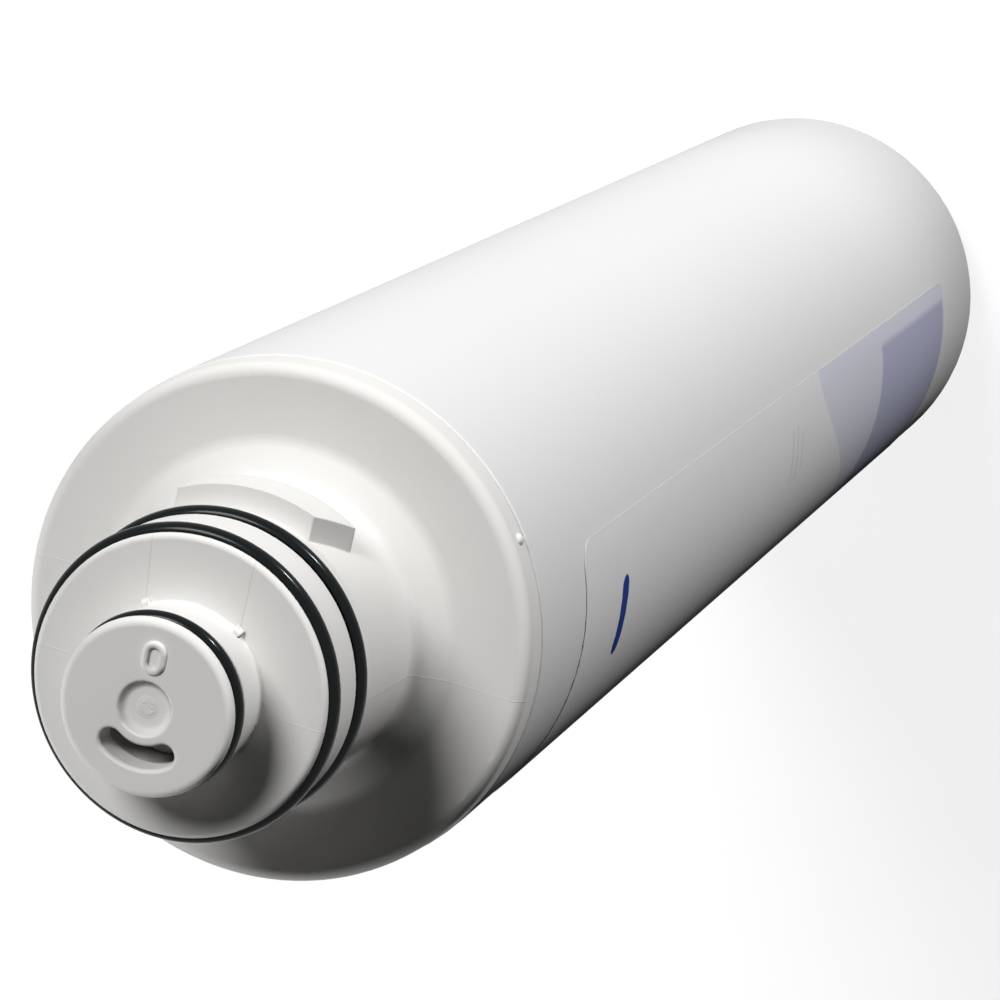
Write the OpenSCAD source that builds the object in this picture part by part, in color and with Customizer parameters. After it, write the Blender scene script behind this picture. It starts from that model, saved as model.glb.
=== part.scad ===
// Quick-change water filter cartridge, standing on its closed end with the nose up.
// The lugs lie on the X axis. Heights are in Z, from the foot.

/* [Shell] */
// Outside diameter of the shell
shell_d = 82; // [74:1:100]
// Height of the shell from its foot to the weld seam
shell_h = 362.5; // [250:0.5:450]
// Wall of the shell
shell_wall = 2.6; // [2:0.1:3.4]
// Thickness of the closed end
foot_wall = 3.6; // [2.6:0.1:5]
// Radius round the closed end
foot_corner = 11.5; // [6:0.5:14]
// Diameter of the recess under the foot
foot_recess_d = 36; // [24:1:44]
// Depth of the recess under the foot
foot_recess_depth = 1.2; // [0.6:0.1:1.6]
// Wall of the boss inside the foot that takes the block's peg
boss_wall = 2.4; // [1.8:0.1:3.2]
// Height of that boss
boss_h = 8; // [6:0.5:12]
// Number of gussets round that boss
boss_gussets = 6; // [3:1:12]

/* [Head] */
// Height from the weld seam to the front face of the large spigot
head_rise = 46; // [42:0.5:60]
// Wall of the shoulder and of the front face
head_wall = 3; // [2.4:0.1:3.6]
// Wall behind the front seal groove, which sets the neck's inside
groove_wall = 1.85; // [1.4:0.05:2.4]
// Neck diameter where it meets the cone
neck_root_d = 46.4; // [44:0.1:46.6]
// Neck diameter behind the seals
neck_tip_d = 44.9; // [44:0.1:46]
// How far the rim leans in from the seam to the shoulder
rim_lean = 0.5; // [0.3:0.1:2.4]
// Height of the shoulder's flat ring above the seam
rim_h = 6; // [5:0.1:7]
// Round on the rim
rim_round = 2; // [1:0.1:2.4]
// From the side of the shell in to the foot of the shoulder's cone
cone_inset = 12.1; // [9:0.1:14]
// Round at the foot of the cone
cone_round = 4; // [2:0.1:5]
// Height above the seam where the cone meets the neck
neck_foot_h = 8.7; // [7.6:0.1:10]
// Round between cone and neck
neck_round = 2.2; // [1:0.1:3]
// Depth of the skirt that the head pushes into the shell
skirt_len = 10; // [6:0.5:14]
// Thickness of that skirt
skirt_t = 2.8; // [2:0.1:3.4]
// How far the ribs under the shoulder reach below the seam
rib_drop = 1.5; // [0.5:0.1:4]
// Direction of the rim's first gate nub
rim_nub_angle = -55; // [-90:1:-30]
// Angle from it to the second one
rim_nub_pitch = -46; // [-90:1:-20]
// Radius of the rim's nubs
rim_nub_r = 1; // [0.4:0.1:1]

/* [Large spigot] */
// Diameter of the front lip
spigot_d = 45; // [44.5:0.1:46]
// Diameter of the land between the two seals
land_d = 46.3; // [45.5:0.1:47]
// Length of the front lip
front_lip = 1.05; // [0.8:0.05:2]
// Length of the land between the two seals
land_len = 7.1; // [6.5:0.1:10]
// Length over which the neck widens to the rear seal
flare_len = 4.4; // [2:0.1:5]
// Free length of the rear groove in front of its seal
rear_spare = 0.9; // [0:0.1:1.2]
// Floor diameter of the front seal groove
front_groove_d = 42.16; // [41.6:0.02:42.6]
// Floor diameter of the rear seal groove
rear_groove_d = 42.72; // [42:0.02:43.2]
// Cord diameter of the two large seals
seal_cord = 2.62; // [2:0.02:3]
// Round on the front rim
spigot_round = 0.85; // [0.2:0.05:0.85]

/* [Nose] */
// Diameter of the nose spigot at its face
nose_d = 26.2; // [25:0.1:30]
// Diameter of the nose spigot at its root
nose_root_d = 25.1; // [24.6:0.1:29.6]
// Length of the nose spigot
nose_len = 12.9; // [9:0.1:18]
// Length of the lip in front of the nose seal
nose_lip = 1.4; // [0.8:0.1:3]
// Free length of the nose groove in front of its seal
nose_spare = 1; // [0:0.1:1.5]
// Floor diameter of the nose seal groove
nose_groove_d = 22; // [21.6:0.1:23]
// Cord diameter of the nose seal
nose_cord = 2.4; // [1.8:0.1:2.6]
// Round on the nose rim
nose_round = 1.2; // [0.4:0.1:1.2]
// Round at the nose's root
nose_fillet = 0.4; // [0.3:0.1:1.5]
// Direction of the two gate nubs at the nose's root, each way from the X axis
gate_angle = 33.5; // [20:0.5:80]
// Size of those nubs
gate_nub = 1.1; // [0.9:0.1:1.6]
// Rim diameter of the gate dimple in the nose face
dimple_d = 8.2; // [5:0.1:9]
// How far the dimple's wall leans in from its rim to its floor
dimple_lean = 0.8; // [0.5:0.1:2]
// Depth of the gate dimple
dimple_depth = 1.1; // [0.7:0.1:1.5]
// Round between the dimple's wall and floor
dimple_round = 1; // [0.2:0.1:1.2]
// Radius of the outlet slot's middle line
slot_r = 7.2; // [6.8:0.1:7.6]
// Width of the outlet slot
slot_w = 3.3; // [2.5:0.1:3.8]
// Half of the angle between the outlet slot's end centres
slot_half_angle = 34; // [20:1:60]
// Round on the mouth of the outlet slot
slot_round = 0.6; // [0.1:0.1:0.6]
// From the axis to the middle of the raised oval ring
ring_at = 7.6; // [6:0.1:8]
// Width of the raised oval ring
ring_w = 3.6; // [2.5:0.1:4.2]
// Length of the raised oval ring
ring_l = 5; // [4.3:0.1:6]
// Thickness of the raised oval ring
ring_cord = 1.1; // [0.6:0.1:1.2]
// Direction of the raised oval ring from the X axis
ring_turn = 1; // [-20:1:20]

/* [Bayonet lugs] */
// Diameter over the lugs
lug_d = 52; // [49:0.2:56]
// From the spigot's front face to the front of a lug
lug_front_at = 19.5; // [18:0.5:22]
// From the spigot's front face to the back of a lug
lug_back_at = 26.8; // [24:0.2:32]
// Reach of a lug's square end from its middle
lug_square_reach = 12.7; // [8:0.1:16]
// Reach of a lug's ramped end at the front
lug_ramp_front = 8.6; // [5:0.1:11]
// Reach of a lug's ramped end at the back
lug_ramp_back = 13; // [11:0.1:16]

/* [Water ways] */
// Width of the inlet port, measured round the spigot
inlet_w = 14; // [8:0.5:20]
// Height of the inlet port
inlet_h = 3.6; // [2.4:0.1:4.6]
// Bore of the socket that takes the outlet stem
socket_d = 19; // [18.9:0.1:20]
// Wall of that socket
socket_wall = 2.5; // [1.8:0.1:3]
// Thickness of the nose's front wall
nose_wall = 4.2; // [3.8:0.1:6]
// Length of the socket's bore
socket_len = 33; // [26:0.5:36]
// Number of ribs in the neck and under the shoulder
rib_count = 6; // [4:2:12]
// Thickness of the ribs
rib_t = 1.8; // [1.2:0.1:2.4]
// Length of the ribs between socket and neck
neck_rib_len = 20; // [10:1:22]

/* [Filter block] */
// Water gap between the shell and the block's end caps
flow_gap = 4.4; // [3:0.1:8]
// Thickness of the end caps' skirts
cap_skirt_t = 1.6; // [1.2:0.1:2.4]
// Length of the end caps' skirts, from the outside of the plate
cap_skirt_len = 11; // [8:0.5:16]
// Thickness of the end caps' plates
cap_plate_t = 3; // [2:0.1:4]
// Thickness of the adhesive discs
glue_t = 1.2; // [0.6:0.1:2]
// Thickness of the net sleeve
net_t = 0.9; // [0.6:0.1:1.4]
// Number of lengthwise strands in the net sleeve
net_strands = 12; // [6:1:20]
// Spacing of the net sleeve's hoops
net_pitch = 20; // [10:1:40]
// Thickness of the sediment wrap
wrap_t = 1.2; // [0.6:0.1:3]
// Bore of the carbon block
block_bore_d = 15; // [12:0.5:24]
// Thickness of the liner in that bore
liner_t = 0.9; // [0.5:0.1:1.2]
// Wall of the outlet stem behind its seal grooves
stem_wall = 1.6; // [1.2:0.1:2.2]
// Gap between the end of the outlet stem and the end of its socket
stem_end_gap = 6; // [3:0.5:10]
// Cord diameter of the stem's seals
stem_cord = 1.8; // [1.4:0.1:1.9]
// Spacing of the stem's seals
stem_seal_pitch = 7; // [5:0.5:9]
// Length of the stem's tip above its upper seal groove
stem_tip = 2; // [1.2:0.1:4]
// Length of the net and wrap that each end cap leaves free inside
sleeve_inset = 1; // [0.5:0.1:3]
// Diameter of the peg under the bottom cap
peg_d = 12; // [8:0.5:16]
// Length of that peg
peg_len = 7; // [4:0.5:9]
// Number of centring fins on the bottom cap
fin_count = 6; // [3:1:12]
// Lead-in at the lower end of those fins
fin_lead = 2; // [1:0.1:3]

/* [Label] */
// Thickness of the label film
label_t = 0.12; // [0.08:0.02:0.3]
// From the seam down to the label's upper edge
label_top_gap = 24; // [5:0.5:60]
// From the foot up to the label's lower edge
label_foot_gap = 42; // [15:0.5:80]
// Angle that the label wraps round the shell
label_wrap = 200; // [60:1:340]
// Direction of the label's visible side edge
label_edge = -64; // [-180:1:180]
// Corner radius of the label
label_corner = 5; // [2:0.5:12]

/* [Fits] */
// Gap between the head's skirt and the shell
skirt_clearance = 0.15; // [0.05:0.05:0.3]
// Gap between parts that are laid over one another
lay_clearance = 0.05; // [0.02:0.01:0.1]
// Gap between the stem and its socket
stem_clearance = 0.25; // [0.1:0.05:0.4]
// Gap round the peg and outside the fins
peg_clearance = 0.25; // [0.1:0.05:0.4]
// Room in a groove beside its seal
groove_room = 0.3; // [0.1:0.05:0.4]
// Gap between a seal and the floor of its groove
seal_clearance = 0.02; // [0.01:0.01:0.05]
// Gap between the block's top cap and the ribs above it
block_clearance = 0.2; // [0.1:0.05:0.3]
// Gap between the stem's seals and their socket
stem_seal_clearance = 0.03; // [0.01:0.01:0.05]
// Step in from the shell to the head at the weld seam
seam_step = 0.15; // [0.05:0.05:0.3]

/* [Edges] */
// Round on moulded edges
edge_round = 0.4; // [0.2:0.1:0.5]
// Round on the edges and floors of the seal grooves
groove_edge = 0.15; // [0.05:0.05:0.2]
// Round in inside corners
core_round = 1; // [0.5:0.1:1.5]

/* [Hidden] */
$fn = 96;

white = [0.93, 0.93, 0.92];
natural = [0.86, 0.87, 0.88];
seal_black = [0.06, 0.07, 0.07];
carbon_black = [0.13, 0.13, 0.13];
fleece = [0.95, 0.95, 0.93];
amber = [0.85, 0.74, 0.5];

// A little extra so that joined shapes share volume and cuts pass through
bite = 0.5;

// Radii of the shell and head
shell_r = shell_d / 2;
shell_in_r = shell_r - shell_wall;
skirt_r = shell_in_r - skirt_clearance;
skirt_in_r = skirt_r - skirt_t;
cone_r = shell_r - cone_inset;
neck_in_r = front_groove_d / 2 - groove_wall;
socket_r = socket_d / 2;
tower_r = socket_r + socket_wall;

// Heights of the head
seam_z = shell_h;
face_z = seam_z + head_rise;
nose_z = face_z + nose_len;
neck_ceiling_z = face_z - head_wall;
socket_top_z = nose_z - nose_wall;
socket_foot_z = socket_top_z - socket_len;
shoulder_in_z = seam_z + rim_h - head_wall;
rib_foot_z = seam_z - rib_drop;

// The large seals, counted down from the front face
seal_groove_len = seal_cord + groove_room;
front_seal_z = face_z - front_lip - seal_groove_len / 2;
rear_seal_z = front_seal_z - land_len - seal_groove_len - rear_spare;
nose_seal_z = nose_z - nose_lip - nose_spare - (nose_cord + groove_room) / 2;

// The filter block, from the shell's floor up to the ribs
plate_r = shell_in_r - flow_gap;
cup_r = plate_r - cap_skirt_t;
net_r = cup_r - lay_clearance;
wrap_r = net_r - net_t - lay_clearance;
block_r = wrap_r - wrap_t - lay_clearance;
bore_r = block_bore_d / 2;
bottom_plate_z = foot_wall + boss_h;
top_plate_z = rib_foot_z - block_clearance;
block_foot_z = bottom_plate_z + cap_plate_t + glue_t;
block_head_z = top_plate_z - cap_plate_t - glue_t;
sleeve_foot_z = bottom_plate_z + cap_plate_t + sleeve_inset;
sleeve_head_z = top_plate_z - cap_plate_t - sleeve_inset;

// The outlet stem
stem_r = socket_r - stem_clearance;
stem_groove_r = socket_r - stem_seal_clearance - stem_cord - seal_clearance;
stem_bore_r = stem_groove_r - stem_wall;
stem_top_z = socket_top_z - stem_end_gap;
upper_stem_seal_z = stem_top_z - stem_tip - (stem_cord + groove_room) / 2;
lower_stem_seal_z = upper_stem_seal_z - stem_seal_pitch;

// Unit vector from p to q
function heading(p, q) = (q - p) / norm(q - p);
// Above zero where the way p, q, r turns left
function turn(p, q, r) = let(a = heading(p, q), b = heading(q, r)) a[0] * b[1] - a[1] * b[0];
// Half the angle between the two edges that meet at q
function half_angle(p, q, r) = acos(heading(q, p) * heading(q, r)) / 2;
// Unit vector from q into that angle
function inward(p, q, r) = let(m = heading(q, p) + heading(q, r)) m / norm(m);
// Where a round of that radius starts, as a distance from its corner
function setback(p, q, r, radius) = radius / tan(half_angle(p, q, r));
// The neighbours of point i
function before(pts, i) = pts[(i + len(pts) - 1) % len(pts)];
function after(pts, i) = pts[(i + 1) % len(pts)];

// The stretch of a circle between a corner's round and the chord across it
module corner_round(p, q, r, radius) {
    back = setback(p, q, r, radius);
    mid = inward(p, q, r);
    intersection() {
        translate(q + mid * radius / sin(half_angle(p, q, r)))
            circle(radius);
        polygon([q + heading(q, p) * back, q - mid * radius, q + heading(q, r) * back]);
    }
}

// A closed outline of [x, y, radius] corners, each rounded with a true arc
module rounded_outline(corners) {
    pts = [for (c = corners) [c[0], c[1]]];
    last = len(pts) - 1;
    chorded = [for (i = [0:last])
        let(p = before(pts, i), q = pts[i], r = after(pts, i), radius = corners[i][2])
        each radius == 0 ? [q] :
            [for (side = [p, r]) q + heading(q, side) * setback(p, q, r, radius)]];
    difference() {
        union() {
            polygon(chorded);
            for (i = [0:last])
                if (corners[i][2] > 0 && turn(before(pts, i), pts[i], after(pts, i)) > 0)
                    corner_round(before(pts, i), pts[i], after(pts, i), corners[i][2]);
        }
        for (i = [0:last])
            if (corners[i][2] > 0 && turn(before(pts, i), pts[i], after(pts, i)) < 0)
                corner_round(before(pts, i), pts[i], after(pts, i), corners[i][2]);
    }
}

// A tube between two radii and two heights
module tube(r_in, r_out, z_low, z_high) {
    translate([0, 0, z_low])
        rotate_extrude()
            translate([r_in, 0])
                square([r_out - r_in, z_high - z_low]);
}

// A seal ring seated on the floor of its groove
module seal_ring(floor_r, cord, z) {
    translate([0, 0, z])
        rotate_extrude()
            translate([floor_r + seal_clearance + cord / 2, 0])
                circle(cord / 2);
}

// The corners of a groove in a turned outline, going up, with spare length above its seal
function groove(r_below, r_floor, r_above, z, cord, spare = 0) =
    let(half = (cord + groove_room) / 2)
    [for (c = [[r_below, -half], [r_floor, -half], [r_floor, half + spare], [r_above, half + spare]])
        [c[0], z + c[1], groove_edge]];
// The round asked for, or what a lip of that length has room for
function lip_round(asked, lip) = min(asked, lip - groove_edge - 0.01);

// A flat shape in Y and Z, carried outwards along X from a start
module outward_prism(start, reach) {
    translate([start, 0, 0])
        rotate([90, 0, 90])
            linear_extrude(reach)
                children();
}

// A flat shape in radius and height, as an upright plate across the axis direction
module radial_plate(thickness) {
    rotate([90, 0, 0])
        linear_extrude(thickness, center = true)
            children();
}

// The shell: a pot with a boss in its floor for the block's peg
module sump_shell() {
    peg_hole_r = peg_d / 2 + peg_clearance;
    boss_r = peg_hole_r + boss_wall;
    gusset_r = shell_in_r - foot_corner;
    gusset_head_z = foot_wall + boss_h * 3 / 4;
    color(white)
    union() {
        rotate_extrude()
            rounded_outline([
                [0, foot_recess_depth, 0],
                [foot_recess_d / 2, foot_recess_depth, edge_round],
                [foot_recess_d / 2 + foot_recess_depth / 2, 0, edge_round],
                [shell_r, 0, foot_corner],
                [shell_r, seam_z, edge_round],
                [shell_in_r, seam_z, edge_round],
                [shell_in_r, foot_wall, foot_corner - shell_wall],
                [boss_r, foot_wall, core_round],
                [boss_r, bottom_plate_z, edge_round],
                [peg_hole_r, bottom_plate_z, edge_round],
                [peg_hole_r, foot_wall, edge_round],
                [0, foot_wall, 0]]);
        for (i = [0:boss_gussets - 1])
            rotate(i * 360 / boss_gussets)
                radial_plate(rib_t)
                    polygon([
                        [boss_r - bite, foot_wall - bite],
                        [gusset_r, foot_wall - bite],
                        [gusset_r, foot_wall + bite],
                        [boss_r, gusset_head_z],
                        [boss_r - bite, gusset_head_z]]);
    }
}

// The head's turned outline, up the outside and down the inside
module head_outline() {
    rounded_outline(concat(
        [
            [skirt_in_r, seam_z - skirt_len, edge_round],
            [skirt_r, seam_z - skirt_len, 2 * edge_round],
            [skirt_r, seam_z, 0],
            [shell_r - seam_step, seam_z, edge_round],
            [shell_r - rim_lean, seam_z + rim_h, rim_round],
            [cone_r, seam_z + rim_h, cone_round],
            [neck_root_d / 2, seam_z + neck_foot_h, neck_round],
            [neck_tip_d / 2, rear_seal_z - seal_groove_len / 2 - flare_len, 0]
        ],
        groove(land_d / 2, rear_groove_d / 2, land_d / 2, rear_seal_z, seal_cord, rear_spare),
        groove(land_d / 2, front_groove_d / 2, spigot_d / 2, front_seal_z, seal_cord),
        [
            [spigot_d / 2, face_z, lip_round(spigot_round, front_lip)],
            [nose_root_d / 2, face_z, nose_fillet]
        ],
        groove(nose_d / 2, nose_groove_d / 2, nose_d / 2, nose_seal_z, nose_cord, nose_spare),
        [
            [nose_d / 2, nose_z, lip_round(nose_round, nose_lip)],
            [dimple_d / 2, nose_z, edge_round],
            [dimple_d / 2 - dimple_lean, nose_z - dimple_depth, dimple_round],
            [0, nose_z - dimple_depth, 0],
            [0, socket_top_z, 0],
            [socket_r, socket_top_z, edge_round],
            [socket_r, socket_foot_z, edge_round],
            [tower_r, socket_foot_z, edge_round],
            [tower_r, neck_ceiling_z, core_round],
            [neck_in_r, neck_ceiling_z, core_round],
            [neck_in_r, seam_z + neck_foot_h - head_wall, core_round],
            [cone_r - head_wall / 3, shoulder_in_z, core_round],
            [skirt_in_r, shoulder_in_z, core_round]
        ]));
}

// One bayonet lug, square at one end and ramped at the other.
// Both ends run along X, the way its mould slides away.
module lug() {
    front_z = face_z - lug_front_at;
    back_z = face_z - lug_back_at;
    intersection() {
        tube((neck_in_r + neck_tip_d / 2) / 2, lug_d / 2, back_z - bite, front_z + bite);
        outward_prism(0, lug_d)
            polygon([
                [lug_square_reach, front_z],
                [-lug_ramp_front, front_z],
                [-lug_ramp_back, back_z],
                [lug_square_reach, back_z]]);
    }
}

// The ribs between socket and neck, and those under the shoulder that hold the block down
module head_ribs() {
    neck_rib_foot_z = neck_ceiling_z - neck_rib_len;
    shoulder_rib_r = neck_tip_d / 2;
    for (i = [0:rib_count - 1])
        rotate((i + 0.5) * 360 / rib_count)
            radial_plate(rib_t) {
                translate([tower_r - bite, neck_rib_foot_z])
                    square([neck_in_r - tower_r + 2 * bite, neck_rib_len + bite]);
                polygon([
                    [shoulder_rib_r, rib_foot_z],
                    [skirt_in_r + bite, rib_foot_z],
                    [skirt_in_r + bite, shoulder_in_z + bite],
                    [cone_r, shoulder_in_z + bite],
                    [shoulder_rib_r, seam_z + neck_foot_h - head_wall]]);
            }
}

// Half the section of a cut with a rounded mouth, beside its middle line
module mouth_section(half_width, depth, mouth_round) {
    square([half_width, depth + bite]);
    difference() {
        translate([0, depth - mouth_round])
            square([half_width + mouth_round, mouth_round + bite]);
        translate([half_width + mouth_round, depth - mouth_round])
            circle(mouth_round);
    }
}

// The outlet slot, curved round the axis on the -X side, cut down from the nose face
module outlet_slot() {
    depth = nose_wall + bite;
    rotate(180 - slot_half_angle)
        rotate_extrude(angle = 2 * slot_half_angle)
            translate([slot_r, 0])
                for (side = [0, 1])
                    mirror([side, 0])
                        mouth_section(slot_w / 2, depth, slot_round);
    for (side = [-1, 1])
        rotate(180 + side * slot_half_angle)
            translate([slot_r, 0, 0])
                rotate_extrude()
                    mouth_section(slot_w / 2, depth, slot_round);
}

// A raised oval ring, long along X and half sunk in the nose face
module oval_ring() {
    bend_r = (ring_w - ring_cord) / 2;
    run = ring_l - ring_w;
    for (end = [0, 180])
        rotate(end) {
            translate([run / 2, 0, 0])
                rotate(-90)
                    rotate_extrude(angle = 180)
                        translate([bend_r, 0])
                            circle(ring_cord / 2);
            translate([-run / 2, bend_r, 0])
                rotate([0, 90, 0])
                    cylinder(d = ring_cord, h = run);
        }
}

// The nubs that the mould's gates left at the nose's root and on the rim
module gate_nubs() {
    nub_angle = gate_nub * 360 / (PI * nose_root_d);
    for (side = [-1, 1])
        rotate(side * gate_angle - nub_angle / 2)
            rotate_extrude(angle = nub_angle)
                polygon([
                    [nose_root_d / 2 - bite, face_z - bite],
                    [nose_root_d / 2 + gate_nub, face_z - bite],
                    [nose_root_d / 2 + gate_nub, face_z + gate_nub / 2],
                    [nose_root_d / 2 + gate_nub / 2, face_z + gate_nub],
                    [nose_root_d / 2 - bite, face_z + gate_nub]]);
    for (i = [0, 1])
        rotate(rim_nub_angle + i * rim_nub_pitch)
            translate([shell_r - seam_step - rim_nub_r / 2, 0, seam_z + 2 * rim_nub_r])
                sphere(rim_nub_r);
}

// The inlet port: a slot with round ends through the land, on the -X side
module inlet_port() {
    half_run = (inlet_w - inlet_h) / 2;
    rotate(180)
        outward_prism((tower_r + neck_in_r) / 2, land_d)
            translate([0, (front_seal_z + rear_seal_z) / 2]) {
                square([2 * half_run, inlet_h], center = true);
                for (side = [-1, 1])
                    translate([side * half_run, 0])
                        circle(d = inlet_h);
            }
}

// The head: shoulder, neck, lugs and both spigots in one moulding
module head_cap() {
    color(white)
    difference() {
        union() {
            rotate_extrude()
                head_outline();
            for (side = [0, 180])
                rotate(side)
                    lug();
            head_ribs();
            gate_nubs();
            rotate(ring_turn)
                translate([ring_at, 0, nose_z])
                    oval_ring();
        }
        translate([0, 0, socket_top_z - bite])
            outlet_slot();
        inlet_port();
    }
}

module front_spigot_oring() {
    color(seal_black)
    seal_ring(front_groove_d / 2, seal_cord, front_seal_z);
}

module rear_spigot_oring() {
    color(seal_black)
    seal_ring(rear_groove_d / 2, seal_cord, rear_seal_z);
}

module nose_oring() {
    color(seal_black)
    seal_ring(nose_groove_d / 2, nose_cord, nose_seal_z);
}

// What is cut off one corner of the label, with the corner's centre on the X axis
module label_corner_cut(side, up) {
    mirror([0, side < 0 ? 1 : 0, 0])
        mirror([0, 0, up < 0 ? 1 : 0])
            outward_prism(0, shell_d)
                difference() {
                    square(label_corner + bite);
                    circle(label_corner);
                }
}

// The label: a film with round corners, laid on the shell
module label() {
    height = seam_z - label_top_gap - label_foot_gap;
    // A little less than the radius, so that each round crosses its edges
    corner_inset = label_corner * 0.98;
    corner_angle = asin(corner_inset / shell_r);
    color(white)
    translate([0, 0, label_foot_gap])
        difference() {
            rotate(label_edge - label_wrap)
                rotate_extrude(angle = label_wrap)
                    translate([shell_r + lay_clearance, 0])
                        square([label_t, height]);
            for (up = [-1, 1])
                translate([0, 0, height / 2 + up * (height / 2 - corner_inset)]) {
                    rotate(label_edge - corner_angle)
                        label_corner_cut(1, up);
                    rotate(label_edge - label_wrap + corner_angle)
                        label_corner_cut(-1, up);
                }
        }
}

module carbon_block() {
    color(carbon_black)
    tube(bore_r, block_r, block_foot_z, block_head_z);
}

module core_liner() {
    liner_r = bore_r - lay_clearance;
    color(fleece)
    tube(liner_r - liner_t, liner_r, block_foot_z, block_head_z);
}

module prefilter_wrap() {
    color(fleece)
    tube(block_r + lay_clearance, wrap_r, sleeve_foot_z, sleeve_head_z);
}

// The net sleeve: hoops crossed by lengthwise strands that lie a little inside them
module outer_netting() {
    length = sleeve_head_z - sleeve_foot_z;
    gaps = floor((length - net_t) / net_pitch);
    color(natural)
    translate([0, 0, sleeve_foot_z]) {
        for (i = [0:gaps])
            translate([0, 0, i * (length - net_t) / gaps])
                tube(net_r - net_t, net_r, 0, net_t);
        for (i = [0:net_strands - 1])
            rotate(i * 360 / net_strands)
                translate([net_r - net_t * 0.9, -net_t / 2, net_t / 2])
                    cube([net_t * 0.8, net_t, length - net_t]);
    }
}

// The top cap: plate and skirt over the block, with the outlet stem above
module block_top_cap() {
    plate_foot_z = top_plate_z - cap_plate_t;
    skirt_foot_z = top_plate_z - cap_skirt_len;
    color(natural)
    rotate_extrude()
        rounded_outline(concat(
            [
                [stem_bore_r, plate_foot_z, edge_round],
                [cup_r, plate_foot_z, edge_round],
                [cup_r, skirt_foot_z, edge_round],
                [plate_r, skirt_foot_z, edge_round],
                [plate_r, top_plate_z, core_round],
                [stem_r, top_plate_z, 2 * core_round]
            ],
            groove(stem_r, stem_groove_r, stem_r, lower_stem_seal_z, stem_cord),
            groove(stem_r, stem_groove_r, stem_r, upper_stem_seal_z, stem_cord),
            [
                [stem_r, stem_top_z, 2 * edge_round],
                [stem_bore_r, stem_top_z, edge_round]
            ]));
}

// The bottom cap: a blind plate and skirt, with a peg and centring fins
module block_bottom_cap() {
    fin_r = shell_in_r - peg_clearance;
    fin_foot_z = bottom_plate_z + core_round;
    fin_head_z = bottom_plate_z + cap_skirt_len - core_round;
    skirt_head_z = bottom_plate_z + cap_skirt_len;
    plate_head_z = bottom_plate_z + cap_plate_t;
    color(natural)
    union() {
        rotate_extrude()
            rounded_outline([
                [0, bottom_plate_z - peg_len, 0],
                [peg_d / 2, bottom_plate_z - peg_len, 2 * edge_round],
                [peg_d / 2, bottom_plate_z, 0],
                [plate_r, bottom_plate_z, core_round],
                [plate_r, skirt_head_z, edge_round],
                [cup_r, skirt_head_z, edge_round],
                [cup_r, plate_head_z, edge_round],
                [0, plate_head_z, 0]]);
        for (i = [0:fin_count - 1])
            rotate((i + 0.5) * 360 / fin_count)
                radial_plate(rib_t)
                    polygon([
                        [plate_r - bite, fin_foot_z],
                        [fin_r - fin_lead, fin_foot_z],
                        [fin_r, fin_foot_z + fin_lead],
                        [fin_r, fin_head_z],
                        [plate_r - bite, fin_head_z]]);
    }
}

module top_adhesive() {
    color(amber)
    tube(bore_r, block_r, block_head_z, block_head_z + glue_t);
}

module bottom_adhesive() {
    color(amber)
    translate([0, 0, block_foot_z - glue_t])
        cylinder(r = block_r, h = glue_t);
}

module upper_stem_oring() {
    color(seal_black)
    seal_ring(stem_groove_r, stem_cord, upper_stem_seal_z);
}

module lower_stem_oring() {
    color(seal_black)
    seal_ring(stem_groove_r, stem_cord, lower_stem_seal_z);
}

sump_shell();
head_cap();
front_spigot_oring();
rear_spigot_oring();
nose_oring();
label();
carbon_block();
core_liner();
prefilter_wrap();
outer_netting();
block_top_cap();
block_bottom_cap();
top_adhesive();
bottom_adhesive();
upper_stem_oring();
lower_stem_oring();
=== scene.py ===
"""The look of a quick-change water filter cartridge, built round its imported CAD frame.

The cartridge stands on its closed end with its nose up. The camera looks down on the nose, at the
photograph's angle. Every CAD node keeps its mesh and gets a finish; the weld bead is a surface of its own.
Lengths are in metres unless a name ends in _mm.
"""
import logging
import math
from dataclasses import dataclass, field
from enum import Enum

import bpy
import numpy as np
from mathutils import Matrix, Vector


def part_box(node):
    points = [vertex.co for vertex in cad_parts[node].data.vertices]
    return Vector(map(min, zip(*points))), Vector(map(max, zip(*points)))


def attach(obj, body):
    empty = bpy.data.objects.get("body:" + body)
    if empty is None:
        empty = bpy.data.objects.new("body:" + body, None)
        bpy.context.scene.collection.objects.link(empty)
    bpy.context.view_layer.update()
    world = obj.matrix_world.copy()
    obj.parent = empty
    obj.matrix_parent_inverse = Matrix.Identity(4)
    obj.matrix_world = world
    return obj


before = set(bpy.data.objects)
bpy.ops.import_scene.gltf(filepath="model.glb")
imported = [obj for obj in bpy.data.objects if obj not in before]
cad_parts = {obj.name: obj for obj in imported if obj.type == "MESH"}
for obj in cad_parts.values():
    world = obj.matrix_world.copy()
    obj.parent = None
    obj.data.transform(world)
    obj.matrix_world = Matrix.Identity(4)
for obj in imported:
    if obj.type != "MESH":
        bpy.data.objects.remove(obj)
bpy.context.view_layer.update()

MM = 0.001
Colour = tuple[float, float, float]
log = logging.getLogger("cartridge")


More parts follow.
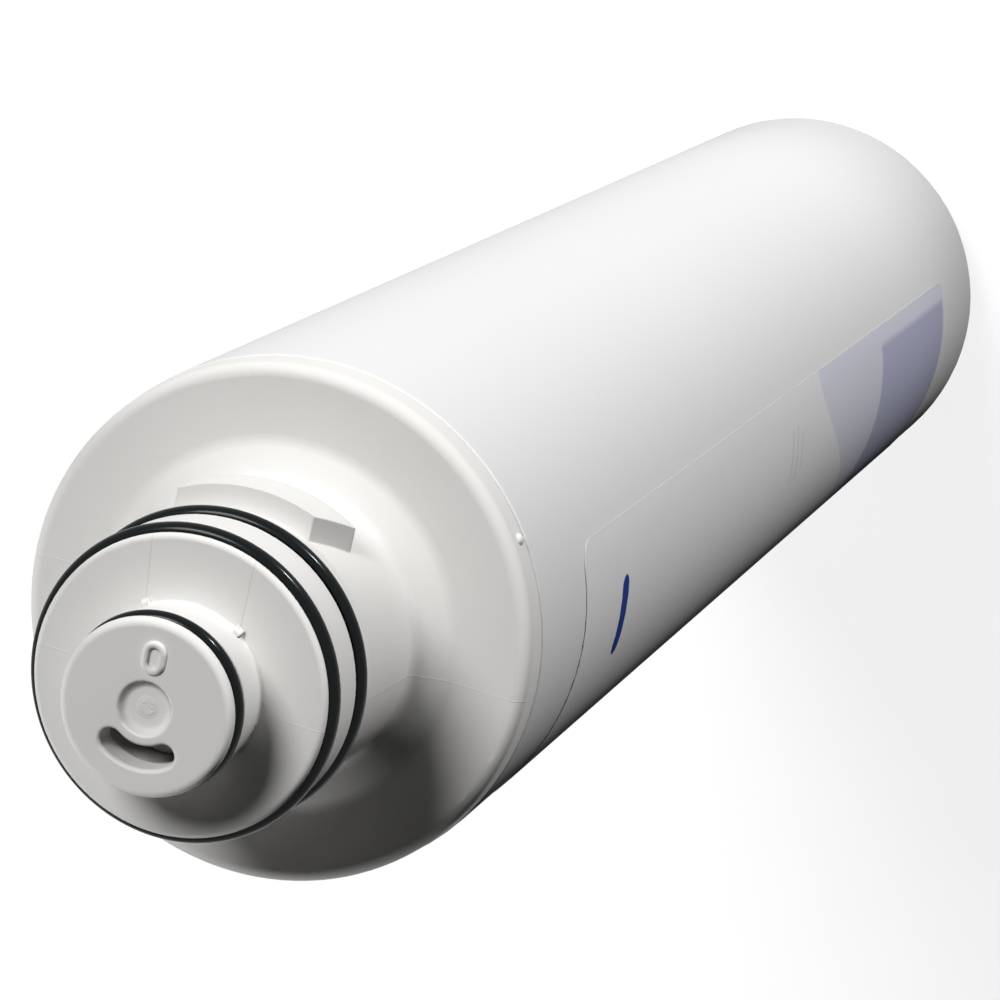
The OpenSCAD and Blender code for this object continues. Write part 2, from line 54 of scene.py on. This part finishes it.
@dataclass(frozen=True)
class Field:
    """A number that varies over a surface: the output socket of a shader node."""

    graph: "Graph"
    socket: bpy.types.NodeSocket

    def math(self, operation: str, *others: "Field | float") -> "Field":
        """Adds a Math node that starts with this field.

        Args:
            operation: the Math node's operation.
            others: its other inputs, in order.

        Returns:
            The node's result.
        """
        return self.graph.math(operation, self, *others)

    def __add__(self, other: "Field | float") -> "Field":
        """This plus other."""
        return self.math("ADD", other)

    def __radd__(self, other: float) -> "Field":
        """Other plus this."""
        return self.math("ADD", other)

    def __sub__(self, other: "Field | float") -> "Field":
        """This minus other."""
        return self.math("SUBTRACT", other)

    def __rsub__(self, other: float) -> "Field":
        """Other minus this."""
        return self.graph.math("SUBTRACT", other, self)

    def __mul__(self, other: "Field | float") -> "Field":
        """This times other."""
        return self.math("MULTIPLY", other)

    def __rmul__(self, other: float) -> "Field":
        """Other times this."""
        return self.math("MULTIPLY", other)

    def __truediv__(self, other: "Field | float") -> "Field":
        """This divided by other."""
        return self.math("DIVIDE", other)

    def __abs__(self) -> "Field":
        """This without its sign."""
        return self.math("ABSOLUTE")

    def smaller(self, other: "Field | float") -> "Field":
        """The smaller of this and other."""
        return self.math("MINIMUM", other)

    def larger(self, other: "Field | float") -> "Field":
        """The larger of this and other."""
        return self.math("MAXIMUM", other)

    def rise(self, start: float, end: float) -> "Field":
        """A smooth step that is 0 at start and 1 at end, which may be the smaller one."""
        values = {"Value": self, "From Min": start, "From Max": end}
        step = self.graph.node("ShaderNodeMapRange", {"interpolation_type": "SMOOTHSTEP"}, values)
        return Field(self.graph, step.outputs["Result"])

    def line(self, at: float, width: float) -> "Field":
        """1 where this equals at, falling smoothly to 0 half a width away."""
        return abs(self - at).rise(width / 2, 0)


class Graph:
    """The node tree of one material, written as calls and expressions."""

    def __init__(self, name: str) -> None:
        """Makes an empty material of that name."""
        self.material = bpy.data.materials.new(name)
        self.material.use_nodes = True
        self.tree = self.material.node_tree
        self.tree.nodes.clear()

    def node(self, kind: str, settings: dict | None = None, values: dict | None = None) -> bpy.types.Node:
        """Adds a node.

        Args:
            kind: the node's Blender type.
            settings: its properties; a ramp's stops are a list of (place, colour) under "stops".
            values: its inputs by name or number, each a plain value, a Field or a socket.

        Returns:
            The new node.
        """
        made = self.tree.nodes.new(kind)
        for key, value in (settings or {}).items():
            if key == "stops":
                self._set_stops(made.color_ramp, value)
            else:
                setattr(made, key, value)
        for key, value in (values or {}).items():
            target = made.inputs[key]
            if isinstance(value, Field):
                self.tree.links.new(value.socket, target)
            elif isinstance(value, bpy.types.NodeSocket):
                self.tree.links.new(value, target)
            else:
                target.default_value = value
        return made

    @staticmethod
    def _set_stops(ramp: bpy.types.ColorRamp, stops: list[tuple[float, Colour]]) -> None:
        """Gives a ramp its stops, in order."""
        while len(ramp.elements) < len(stops):
            ramp.elements.new(1.0)
        for element, (place, colour) in zip(ramp.elements, stops):
            element.position = place
            element.color = (*colour, 1.0)

    def math(self, operation: str, *inputs: Field | float) -> Field:
        """Adds a Math node and returns its result."""
        made = self.node("ShaderNodeMath", {"operation": operation}, dict(enumerate(inputs)))
        return Field(self, made.outputs[0])

    def place(self) -> tuple[Field, Field, Field]:
        """The point's coordinates on the object, in metres."""
        parts = self.node("ShaderNodeSeparateXYZ", None, {0: self.coordinates()})
        return tuple(Field(self, parts.outputs[i]) for i in range(3))

    def coordinates(self) -> bpy.types.NodeSocket:
        """The object coordinates as a vector."""
        return self.node("ShaderNodeTexCoord").outputs["Object"]

    def stretched(self, scale: tuple[float, float, float]) -> bpy.types.NodeSocket:
        """The object coordinates, multiplied along each axis."""
        return self.node("ShaderNodeMapping", None, {"Vector": self.coordinates(), "Scale": scale}).outputs[0]

    def noise(self, size: float, detail: float = 2.0, vector: bpy.types.NodeSocket | None = None) -> Field:
        """Soft noise between 0 and 1.

        Args:
            size: the width of one blotch, in metres.
            detail: octaves of finer noise in it.
            vector: coordinates to use in place of the object's own.

        Returns:
            The noise.
        """
        values = {"Vector": vector or self.coordinates(), "Scale": 1.0 / size, "Detail": detail}
        return Field(self, self.node("ShaderNodeTexNoise", None, values).outputs["Fac"])

    def specks(self, spacing: float, radius: float) -> Field:
        """1 inside small round specks that are scattered at that spacing, else 0."""
        values = {"Vector": self.coordinates(), "Scale": 1.0 / spacing}
        cells = self.node("ShaderNodeTexVoronoi", None, values)
        return Field(self, cells.outputs["Distance"]).rise(radius / spacing, 0.6 * radius / spacing)

    def blend(self, factor: Field | float, start: object, end: object) -> bpy.types.NodeSocket:
        """Mixes two colours, each a tuple or a socket, by a factor."""
        colours = [(*c, 1.0) if isinstance(c, tuple) else c for c in (start, end)]
        values = {"Factor": factor, 6: colours[0], 7: colours[1]}
        return self.node("ShaderNodeMix", {"data_type": "RGBA"}, values).outputs[2]

    def bump(self, height: Field, depth: float, under: bpy.types.NodeSocket | None = None) -> bpy.types.NodeSocket:
        """Turns a height into a normal.

        Args:
            height: 0 to 1 over the surface.
            depth: how far 1 stands above 0, in metres.
            under: the normal that it is added to.

        Returns:
            The bumped normal.
        """
        values = {"Height": height, "Distance": depth, "Strength": 1.0}
        if under is not None:
            values["Normal"] = under
        return self.node("ShaderNodeBump", None, values).outputs[0]

    def soft_edges(self, radius: float) -> bpy.types.NodeSocket:
        """The normal with every sharp edge rounded off by that radius."""
        return self.node("ShaderNodeBevel", {"samples": 6}, {"Radius": radius}).outputs[0]

    def finish(self, values: dict) -> bpy.types.Material:
        """Ends the material in one Principled shader with those inputs."""
        shader = self.node("ShaderNodeBsdfPrincipled", None, values)
        self.node("ShaderNodeOutputMaterial", None, {"Surface": shader.outputs[0]})
        return self.material


@dataclass(frozen=True)
class ShellPlastic:
    """Semi-gloss white polypropylene of the shell, with a faint orange peel and handling marks."""

    name: str = "white shell plastic"
    colour: Colour = (0.78, 0.782, 0.782)
    cloudy: Colour = (0.76, 0.762, 0.763)
    roughness: float = 0.48

    def build(self) -> bpy.types.Material:
        """Makes the material."""
        graph = Graph(self.name)
        cloud = graph.noise(40 * MM, 3)
        peel = graph.noise(1.6 * MM, 2)
        rubbed = graph.noise(9 * MM, 4, graph.stretched((1.0, 1.0, 0.25))).rise(0.58, 0.72)
        scratch = graph.noise(0.35 * MM, 1, graph.stretched((0.05, 0.05, 1.0))).rise(0.74, 0.8) * rubbed
        height = peel * 0.6 + graph.noise(0.4 * MM, 1) * 0.2 - scratch * 0.8
        return graph.finish({
            "Base Color": graph.blend(cloud, self.cloudy, self.colour),
            "Roughness": self.roughness + rubbed * 0.08 + cloud * 0.04,
            "Specular IOR Level": 0.0,
            "Normal": graph.bump(height, 0.006 * MM, graph.soft_edges(0.5 * MM)),
        })


@dataclass(frozen=True)
class HeadPlastic:
    """Satin, slightly warm polypropylene of the head, with the witness lines of its mould and a painted highlight
    along the parting line.
    """

    name: str = "white head plastic"
    colour: Colour = (0.778, 0.769, 0.75)
    shade: Colour = (0.748, 0.739, 0.72)
    roughness: float = 0.46
    witness_width: float = 0.22 * MM
    nose_height: float = 13.45 * MM

    def build(self) -> bpy.types.Material:
        """Makes the material."""
        graph = Graph(self.name)
        x, y, z = graph.place()
        radius = (x * x + y * y).math("SQRT")
        nose_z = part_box("head_cap")[1].z
        face_z = nose_z - self.nose_height
        seam_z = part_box("sump_shell")[1].z
        on_nose = z.rise(face_z + 0.6 * MM, face_z + 0.8 * MM)
        on_disc = z.rise(face_z - 0.6 * MM, face_z - 0.3 * MM) * (1 - on_nose)
        # Parting line: a real raised ridge in the bump, and also a painted highlight where light catches its crest.
        parting_ridge_and_highlight = x.line(0, self.witness_width) * z.rise(seam_z, seam_z + 0.2 * MM) * (1 - on_nose)
        slide = (y - x * 0.11).line(6.2 * MM, self.witness_width).larger(y.line(-7.3 * MM, self.witness_width))
        slide = slide * on_disc * x.rise(0, 0.2 * MM)
        ripple = graph.noise(14 * MM, 2, graph.stretched((1.0, 1.0, 0.4)))
        grain = graph.noise(0.5 * MM, 2) * 0.5 + graph.noise(3 * MM, 2) * 0.5
        pitted = graph.noise(0.45 * MM, 3) * radius.rise(1.5 * MM, 1.1 * MM) * 4.0
        gate = (radius.line(1.5 * MM, 0.4 * MM) + pitted) * z.rise(nose_z - 3 * MM, nose_z - 2.5 * MM)
        height = grain * 0.12 + parting_ridge_and_highlight * 0.6 - slide * 0.5 + gate
        base = graph.blend(ripple, self.shade, self.colour)
        base = graph.blend(slide * 0.4, base, (0.45, 0.44, 0.42))
        return graph.finish({
            # Painted highlight: the parting line's colour is mixed towards a lighter white.
            "Base Color": graph.blend(parting_ridge_and_highlight * 0.3, base, (0.9, 0.89, 0.87)),
            "Roughness": self.roughness + ripple * 0.06,
            "Specular IOR Level": 0.04,
            "Normal": graph.bump(height, 0.05 * MM, graph.soft_edges(0.4 * MM)),
        })


@dataclass(frozen=True)
class SealRubber:
    """Greased black rubber, with a few specks of lint."""

    name: str = "black seal rubber"
    colour: Colour = (0.003, 0.005, 0.005)
    roughness: float = 0.16

    def build(self) -> bpy.types.Material:
        """Makes the material."""
        graph = Graph(self.name)
        film = graph.noise(4 * MM, 3)
        lint = graph.specks(3.2 * MM, 0.12 * MM) * graph.noise(9 * MM, 1).rise(0.55, 0.6)
        return graph.finish({
            "Base Color": graph.blend(lint * 0.5, self.colour, (0.35, 0.36, 0.35)),
            "Roughness": self.roughness - 0.06 + film * 0.16,
            "Specular IOR Level": 0.13,
            "Normal": graph.bump(graph.noise(0.9 * MM, 2), 0.003 * MM),
        })


@dataclass(frozen=True)
class LabelPrint:
    """A thin white film with plain fields of colour and no lettering."""

    name: str = "printed label film"
    film: Colour = (0.80, 0.80, 0.805)
    pale: Colour = (0.70, 0.70, 0.79)
    deep: Colour = (0.48, 0.49, 0.64)
    bar: Colour = (0.03, 0.065, 0.28)
    grey: Colour = (0.50, 0.51, 0.55)
    edge: Colour = (0.56, 0.56, 0.57)
    side_edge_deg: float = -64.0
    crisp: float = 0.35 * MM

    def build(self) -> bpy.types.Material:
        """Makes the material.

        The print is laid out on the unrolled film: across runs from its visible side edge round the shell,
        and z runs up it. The pale field ends at the top in the wave z = middle + height * cos(turns * across).
        """
        graph = Graph(self.name)
        x, y, z = graph.place()
        low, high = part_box("label")
        shell_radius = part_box("sump_shell")[1].x
        turned = math.radians(self.side_edge_deg) - y.math("ARCTAN2", x)
        across = turned.math("WRAP", 2 * math.pi, 0.0) * shell_radius
        wave = (across * (2 * math.pi / (78 * MM))).math("COSINE") * (22 * MM) + 147.5 * MM
        pale = (wave - z).rise(0, 2 * self.crisp) * z.rise(low.z + 1.5 * MM, low.z + 1.8 * MM)
        deep = z.rise(112 * MM, 110 * MM) * across.rise(3 * MM, 5 * MM) * z.rise(low.z + 2.5 * MM, low.z + 4 * MM)
        bar = self.patch(across - 16.5 * MM, z - 315 * MM, 7 * MM, 2.1 * MM)
        rows = [self.patch(across - 12.5 * MM, z - at * MM, half * MM, 0.8 * MM)
                for at, half in ((194, 5.5), (190, 5.5), (186, 4.0))]
        text = rows[0].larger(rows[1]).larger(rows[2])
        colour = graph.blend(pale, self.film, self.pale)
        colour = graph.blend(deep, colour, self.deep)
        colour = graph.blend(text * 0.35, colour, self.grey)
        colour = graph.blend(bar, colour, self.bar)
        cut_edge = abs(turned * shell_radius).rise(0.1 * MM, 0.05 * MM)
        colour = graph.blend(cut_edge, colour, self.edge)
        return graph.finish({
            "Base Color": colour,
            "Roughness": 0.44 + graph.noise(30 * MM, 3) * 0.08,
            "Specular IOR Level": 0.0,
            "Normal": graph.bump(graph.noise(2.2 * MM, 3), 0.008 * MM),
        })

    def patch(self, across: Field, up: Field, half_width: float, half_height: float) -> Field:
        """1 inside a bar with round ends, centred where across and up are 0."""
        run = (abs(across) - (half_width - half_height)).larger(0.0)
        reach = (run * run + up * up).math("SQRT")
        return reach.rise(half_height, half_height - self.crisp)


@dataclass(frozen=True)
class PressedCarbon:
    """Dull black pressed carbon grains."""

    name: str = "pressed carbon"
    colour: Colour = (0.022, 0.022, 0.023)

    def build(self) -> bpy.types.Material:
        """Makes the material."""
        graph = Graph(self.name)
        grain = graph.noise(0.7 * MM, 4)
        return graph.finish({
            "Base Color": graph.blend(grain, self.colour, (0.06, 0.06, 0.062)),
            "Roughness": 0.75 + grain * 0.2,
            "Normal": graph.bump(grain, 0.12 * MM),
        })


@dataclass(frozen=True)
class Fleece:
    """White non-woven fleece with tangled fibres."""

    name: str = "white fleece"
    colour: Colour = (0.78, 0.78, 0.76)

    def build(self) -> bpy.types.Material:
        """Makes the material."""
        graph = Graph(self.name)
        fibre = graph.noise(0.5 * MM, 5, graph.stretched((1.0, 1.0, 0.35)))
        return graph.finish({
            "Base Color": graph.blend(fibre, (0.66, 0.66, 0.64), self.colour),
            "Roughness": 0.85 + fibre * 0.1,
            "Normal": graph.bump(fibre, 0.1 * MM),
        })


@dataclass(frozen=True)
class NaturalPlastic:
    """Uncoloured moulded polypropylene of the end caps and the net."""

    name: str = "natural polypropylene"
    colour: Colour = (0.72, 0.73, 0.72)

    def build(self) -> bpy.types.Material:
        """Makes the material."""
        graph = Graph(self.name)
        cloud = graph.noise(11 * MM, 3)
        return graph.finish({
            "Base Color": graph.blend(cloud, (0.66, 0.67, 0.66), self.colour),
            "Roughness": 0.4 + cloud * 0.1,
            "Normal": graph.bump(graph.noise(0.8 * MM, 2), 0.01 * MM),
        })


@dataclass(frozen=True)
class Adhesive:
    """Cured amber hot-melt adhesive."""

    name: str = "amber adhesive"
    colour: Colour = (0.66, 0.52, 0.27)

    def build(self) -> bpy.types.Material:
        """Makes the material."""
        graph = Graph(self.name)
        flow = graph.noise(6 * MM, 3)
        return graph.finish({
            "Base Color": graph.blend(flow, (0.55, 0.42, 0.2), self.colour),
            "Roughness": 0.3 + flow * 0.15,
            "Normal": graph.bump(flow, 0.08 * MM),
        })


@dataclass(frozen=True)
class PaleFloor:
    """A white floor for the camera that keeps the object's soft shadow and throws little light back."""

    name: str = "pale floor"
    glow: float = 0.86
    paper: float = 0.26
    thrown_back: float = 0.1

    def build(self) -> bpy.types.Material:
        """Makes the material: part glow, part paper where it is seen, and grey paper for other rays."""
        graph = Graph(self.name)
        path = graph.node("ShaderNodeLightPath")
        seen = Field(graph, path.outputs["Is Camera Ray"])
        seen = seen.larger(Field(graph, path.outputs["Is Glossy Ray"]))
        seen = seen.larger(Field(graph, path.outputs["Is Transmission Ray"]))
        fibres = graph.noise(25 * MM, 2) * 0.02 + 0.98
        paper = graph.node("ShaderNodeBsdfDiffuse", None, {
            "Color": graph.blend(seen, (self.thrown_back,) * 3, (self.paper,) * 3)})
        glow = graph.node("ShaderNodeEmission", None, {"Color": (1, 1, 1, 1), "Strength": seen * self.glow * fibres})
        both = graph.node("ShaderNodeAddShader", None, {0: paper.outputs[0], 1: glow.outputs[0]})
        graph.node("ShaderNodeOutputMaterial", None, {"Surface": both.outputs[0]})
        return graph.material


class Finish(Enum):
    """Every finish on the cartridge."""

    SHELL = ShellPlastic()
    HEAD = HeadPlastic()
    SEAL = SealRubber()
    LABEL = LabelPrint()
    CARBON = PressedCarbon()
    FLEECE = Fleece()
    NATURAL = NaturalPlastic()
    ADHESIVE = Adhesive()

    def dress(self, piece: bpy.types.Object) -> None:
        """Puts this finish on a piece, and builds it the first time."""
        material = bpy.data.materials.get(self.value.name) or self.value.build()
        piece.data.materials.clear()
        piece.data.materials.append(material)


def surface(name: str, points: np.ndarray, closed_u: bool, closed_v: bool) -> bpy.types.Object:
    """Turns a grid of points into a smooth mesh piece.

    Args:
        name: the piece's name.
        points: an array of shape (u, v, 3); faces look outwards where u crossed with v does.
        closed_u: whether the last row joins the first.
        closed_v: whether the last column joins the first.

    Returns:
        The new object, at the origin.
    """
    rows, columns = points.shape[:2]
    u = np.arange(rows if closed_u else rows - 1)[:, None]
    v = np.arange(columns if closed_v else columns - 1)[None, :]
    next_u, next_v = (u + 1) % rows, (v + 1) % columns
    corners = [u * columns + v, next_u * columns + v, next_u * columns + next_v, u * columns + next_v]
    faces = np.stack([c.ravel() for c in corners], axis=1)
    mesh = bpy.data.meshes.new(name)
    mesh.from_pydata(points.reshape(-1, 3).tolist(), [], faces.tolist())
    mesh.polygons.foreach_set("use_smooth", np.ones(len(mesh.polygons), dtype=bool))
    mesh.update()
    made = bpy.data.objects.new(name, mesh)
    bpy.context.scene.collection.objects.link(made)
    return made


@dataclass
class Housing:
    """The welded pressure vessel: shell, head and the bead of melted plastic in the seam between them."""

    bead_radius: float = 0.2 * MM
    bead_inset: float = 0.6 * MM
    bead_ripple: float = 0.04 * MM
    bead_steps: int = 720
    bead_sides: int = 10

    def build(self) -> None:
        """Dresses shell and head and adds the bead."""
        Finish.SHELL.dress(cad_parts["sump_shell"])
        Finish.HEAD.dress(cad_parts["head_cap"])
        bead = self.weld_bead()
        Finish.SHELL.dress(bead)
        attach(bead, "root")
        log.info("housing: shell, head and %s", bead.name)

    def weld_bead(self) -> bpy.types.Object:
        """The bead in the seam.

        A torus whose tube radius wavers: tube = r + ripple * (sin 7a + sin 17a / 2), with a the way round.

        Returns:
            The bead.
        """
        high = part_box("sump_shell")[1]
        way = np.linspace(0, 2 * np.pi, self.bead_steps, endpoint=False)[:, None]
        around = np.linspace(0, 2 * np.pi, self.bead_sides, endpoint=False)[None, :]
        tube = self.bead_radius + self.bead_ripple * (np.sin(7 * way) + np.sin(17 * way) / 2)
        radius = high.x - self.bead_inset + tube * np.cos(around)
        height = high.z + tube * np.sin(around)
        points = np.stack([radius * np.cos(way), radius * np.sin(way), height + 0 * way], axis=2)
        return surface("weld_bead", points, True, True)


@dataclass
class Seals:
    """The three seals that show, and the two on the outlet stem."""

    nodes: tuple[str, ...] = (
        "front_spigot_oring", "rear_spigot_oring", "nose_oring", "upper_stem_oring", "lower_stem_oring")

    def build(self) -> None:
        """Dresses the seals."""
        for node in self.nodes:
            Finish.SEAL.dress(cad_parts[node])
            log.info("seal: %s", node)


@dataclass
class Label:
    """The printed film on the shell."""

    node: str = "label"

    def build(self) -> None:
        """Dresses the label."""
        Finish.LABEL.dress(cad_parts[self.node])
        log.info("label: %s", self.node)


@dataclass
class FilterBlock:
    """Everything inside the shell."""

    finishes: dict[str, Finish] = field(default_factory=lambda: {
        "carbon_block": Finish.CARBON,
        "core_liner": Finish.FLEECE,
        "prefilter_wrap": Finish.FLEECE,
        "outer_netting": Finish.NATURAL,
        "block_top_cap": Finish.NATURAL,
        "block_bottom_cap": Finish.NATURAL,
        "top_adhesive": Finish.ADHESIVE,
        "bottom_adhesive": Finish.ADHESIVE,
    })

    def build(self) -> None:
        """Dresses each inner piece."""
        for node, finish in self.finishes.items():
            finish.dress(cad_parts[node])
            log.info("filter block: %s", node)


@dataclass
class Studio:
    """Floor, world, lamps and the camera."""

    floor_radius: float = 3.0
    ambient: float = 0.008
    camera_place: tuple[float, float, float] = (0.18634, -0.17137, 0.93973)
    camera_right: tuple[float, float, float] = (0.21905, -0.93144, -0.29059)
    camera_up: tuple[float, float, float] = (0.94107, 0.28034, -0.18919)
    lens_mm: float = 147.51
    sensor_mm: float = 36.0

    def build(self) -> None:
        """Makes the whole studio."""
        self.floor()
        self.world()
        self.lamp("key", (33, 48), 0.83, 24, True)
        self.lamp("side", (-25, 0.5), 0.78, 4, True)
        self.lamp("back", (150, 0.5), 0.6, 4, False)
        self.camera()
        log.info("studio: floor, world, 3 lamps and camera")

    def floor(self) -> None:
        """A round floor under the cartridge."""
        mesh = bpy.data.meshes.new("floor")
        way = np.linspace(0, 2 * np.pi, 96, endpoint=False)
        rim = np.stack([np.cos(way), np.sin(way), 0 * way], axis=1) * self.floor_radius
        mesh.from_pydata(rim.tolist(), [], [list(range(len(way)))])
        floor = bpy.data.objects.new("floor", mesh)
        bpy.context.scene.collection.objects.link(floor)
        floor.data.materials.append(PaleFloor().build())

    def world(self) -> None:
        """A world that the camera and reflections see white, and that lights everything a little."""
        world = bpy.data.worlds.new("studio")
        world.use_nodes = True
        bpy.context.scene.world = world
        tree = world.node_tree
        tree.nodes.clear()
        path = tree.nodes.new("ShaderNodeLightPath")
        seen = path.outputs["Is Camera Ray"]
        for ray in ("Is Glossy Ray", "Is Transmission Ray"):
            either = tree.nodes.new("ShaderNodeMath")
            either.operation = "MAXIMUM"
            tree.links.new(seen, either.inputs[0])
            tree.links.new(path.outputs[ray], either.inputs[1])
            seen = either.outputs[0]
        strength = tree.nodes.new("ShaderNodeMapRange")
        strength.inputs["To Min"].default_value = self.ambient
        strength.inputs["To Max"].default_value = 1.0
        tree.links.new(seen, strength.inputs["Value"])
        back = tree.nodes.new("ShaderNodeBackground")
        back.inputs["Color"].default_value = (1, 1, 1, 1)
        tree.links.new(strength.outputs[0], back.inputs["Strength"])
        out = tree.nodes.new("ShaderNodeOutputWorld")
        tree.links.new(back.outputs[0], out.inputs["Surface"])

    def lamp(self, name: str, direction: tuple[float, float], level: float, softness: float, glint: bool) -> None:
        """Lights the scene evenly from one side, as a large soft lamp far away does.

        Args:
            name: the lamp's name.
            direction: the way to it from the cartridge: degrees from +X, degrees above the level.
            level: how bright a white surface that faces it is, where 1 is as bright as it is written.
            softness: how wide the lamp looks from the cartridge, in degrees.
            glint: whether the lamp itself shows in shiny surfaces.
        """
        turn, lift = (math.radians(a) for a in direction)
        way = Vector((math.cos(turn) * math.cos(lift), math.sin(turn) * math.cos(lift), math.sin(lift)))
        data = bpy.data.lights.new(name, "SUN")
        data.energy = level * math.pi
        data.angle = math.radians(softness)
        lamp = bpy.data.objects.new(name, data)
        lamp.rotation_mode = "QUATERNION"
        lamp.rotation_quaternion = (-way).to_track_quat("-Z", "Y")
        lamp.location = way
        lamp.visible_glossy = glint
        bpy.context.scene.collection.objects.link(lamp)

    def camera(self) -> None:
        """The camera at the photograph's place, as found from the ellipses of the rims and seals."""
        data = bpy.data.cameras.new("camera")
        data.lens = self.lens_mm
        data.sensor_width = self.sensor_mm
        data.clip_start, data.clip_end = 0.01, 100
        right, up = Vector(self.camera_right).normalized(), Vector(self.camera_up).normalized()
        back = right.cross(up).normalized()
        camera = bpy.data.objects.new("camera", data)
        turn = Matrix((right, back.cross(right), back)).transposed()
        camera.matrix_world = Matrix.Translation(self.camera_place) @ turn.to_4x4()
        bpy.context.scene.collection.objects.link(camera)
        bpy.context.scene.camera = camera


def main() -> None:
    """Builds the cartridge and its studio, in order."""
    logging.basicConfig(level=logging.INFO, format="%(name)s: %(message)s")
    bpy.context.scene.view_settings.view_transform = "Standard"
    for assembly in (Studio(), Housing(), Seals(), Label(), FilterBlock()):
        assembly.build()


if __name__ == "__main__":
    main()
